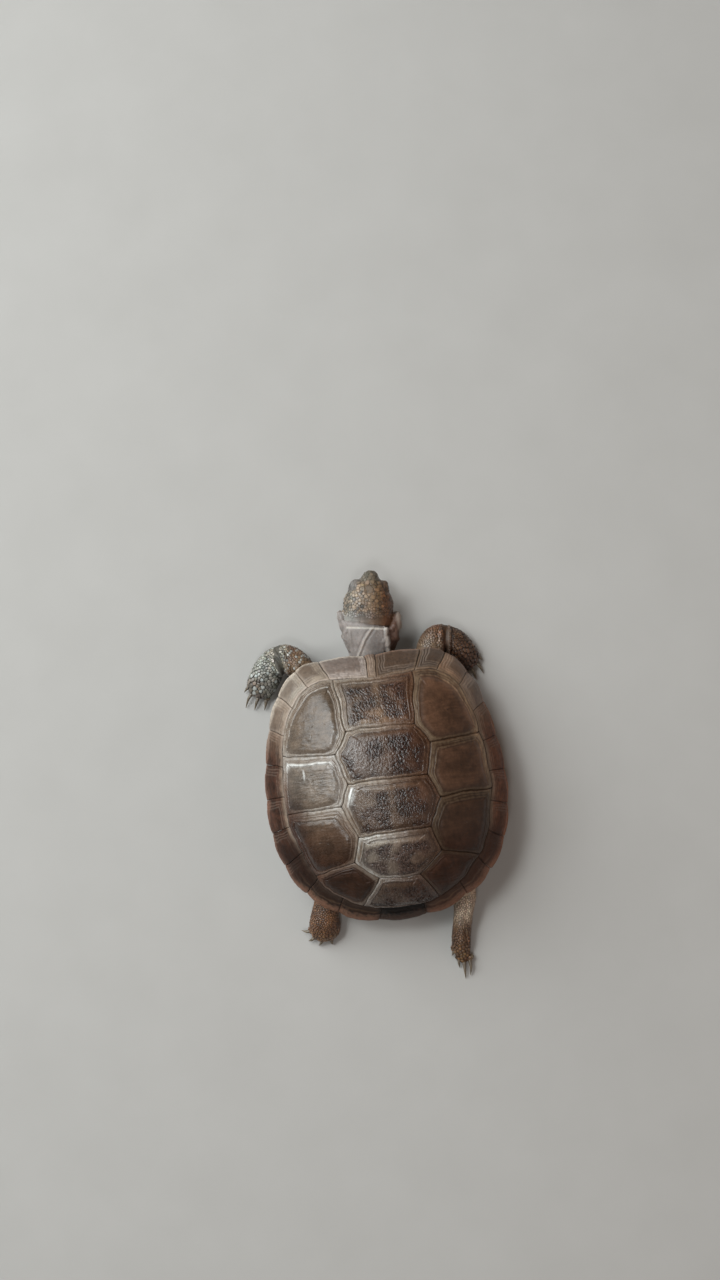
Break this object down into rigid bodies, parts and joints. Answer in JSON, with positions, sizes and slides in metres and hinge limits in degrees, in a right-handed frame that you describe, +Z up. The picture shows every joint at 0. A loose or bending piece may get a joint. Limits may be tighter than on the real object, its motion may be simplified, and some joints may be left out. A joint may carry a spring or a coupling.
{
  "type": "tortoise",
  "caption": "Life-size model of a young tortoise lying on its plastron, head and legs stretched out, with separate shell plates over one trunk.",
  "frame": {"origin": "middle of the animal's box, on the floor under the plastron", "axes": "+Z up, head toward -Y, the animal's left side toward +X"},
  "size_m": [0.0593, 0.0991, 0.0297],
  "materials": {
    "vertebral_horn": "dark brown, pitted, satin horn",
    "costal_horn": "grey-brown satin horn with paler growth rings",
    "marginal_horn": "tan-brown satin horn with a paler rim",
    "belly_horn": "yellow-brown satin horn with dark blotches",
    "scaly_skin": "grey-olive skin under small scales",
    "head_skin": "grey-green and mottled brown skin",
    "eye": "wet, dark",
    "claw_horn": "smooth grey horn"
  },
  "bodies": {
    "root": {"vertebral_1": "vertebral_horn", "vertebral_2": "vertebral_horn", "vertebral_3": "vertebral_horn", "vertebral_4": "vertebral_horn", "vertebral_5": "vertebral_horn", "costal_l1": "costal_horn", "costal_l2": "costal_horn", "costal_l3": "costal_horn", "costal_l4": "costal_horn", "costal_r1": "costal_horn", "costal_r2": "costal_horn", "costal_r3": "costal_horn", "costal_r4": "costal_horn", "nuchal": "marginal_horn", "marginal_l1": "marginal_horn", "marginal_l2": "marginal_horn", "marginal_l3": "marginal_horn", "marginal_l4": "marginal_horn", "marginal_l5": "marginal_horn", "marginal_l6": "marginal_horn", "marginal_l7": "marginal_horn", "marginal_l8": "marginal_horn", "marginal_l9": "marginal_horn", "marginal_l10": "marginal_horn", "marginal_l11": "marginal_horn", "marginal_r1": "marginal_horn", "marginal_r2": "marginal_horn", "marginal_r3": "marginal_horn", "marginal_r4": "marginal_horn", "marginal_r5": "marginal_horn", "marginal_r6": "marginal_horn", "marginal_r7": "marginal_horn", "marginal_r8": "marginal_horn", "marginal_r9": "marginal_horn", "marginal_r10": "marginal_horn", "marginal_r11": "marginal_horn", "supracaudal": "marginal_horn", "plastron": "belly_horn", "trunk": "scaly_skin", "neck": "scaly_skin", "tail": "scaly_skin", "leg_fore_l": "scaly_skin", "leg_fore_r": "scaly_skin", "leg_hind_l": "scaly_skin", "leg_hind_r": "scaly_skin", "head": "head_skin", "lower_jaw": "head_skin", "eye_l": "eye", "eye_r": "eye", "claws_fore_l": "claw_horn", "claws_fore_r": "claw_horn", "claws_hind_l": "claw_horn", "claws_hind_r": "claw_horn"}
  },
  "joints": []
}
